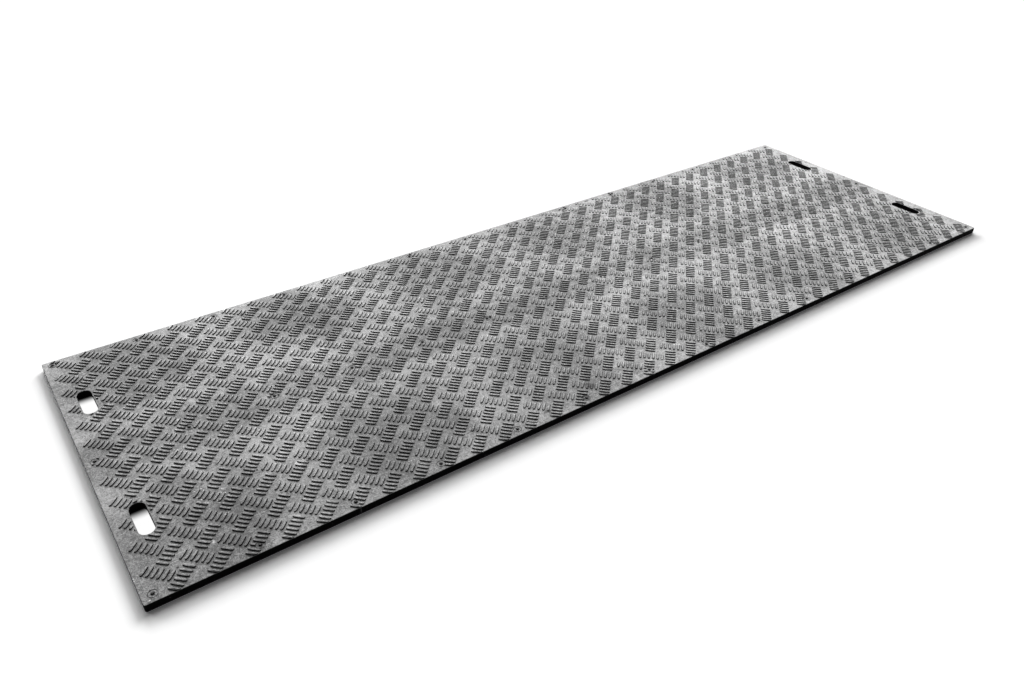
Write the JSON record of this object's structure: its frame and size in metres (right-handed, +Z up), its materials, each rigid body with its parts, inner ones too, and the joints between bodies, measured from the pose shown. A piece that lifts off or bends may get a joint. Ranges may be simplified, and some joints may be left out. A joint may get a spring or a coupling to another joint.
{
  "type": "ground protection mat",
  "caption": "Long flat rectangular sheet of thick plastic, with a slot-shaped hand hole near each corner and a raised tread, laid on soft ground as a temporary track.",
  "frame": {"origin": "middle of the underside", "axes": "+X along the length, +Y across the width, +Z up through the tread side"},
  "size_m": [3, 1, 0.023],
  "materials": {
    "polyethylene": "moulded recycled polyethylene with a fine grain and a grey haze"
  },
  "bodies": {
    "root": {"mat": "polyethylene"}
  },
  "joints": []
}
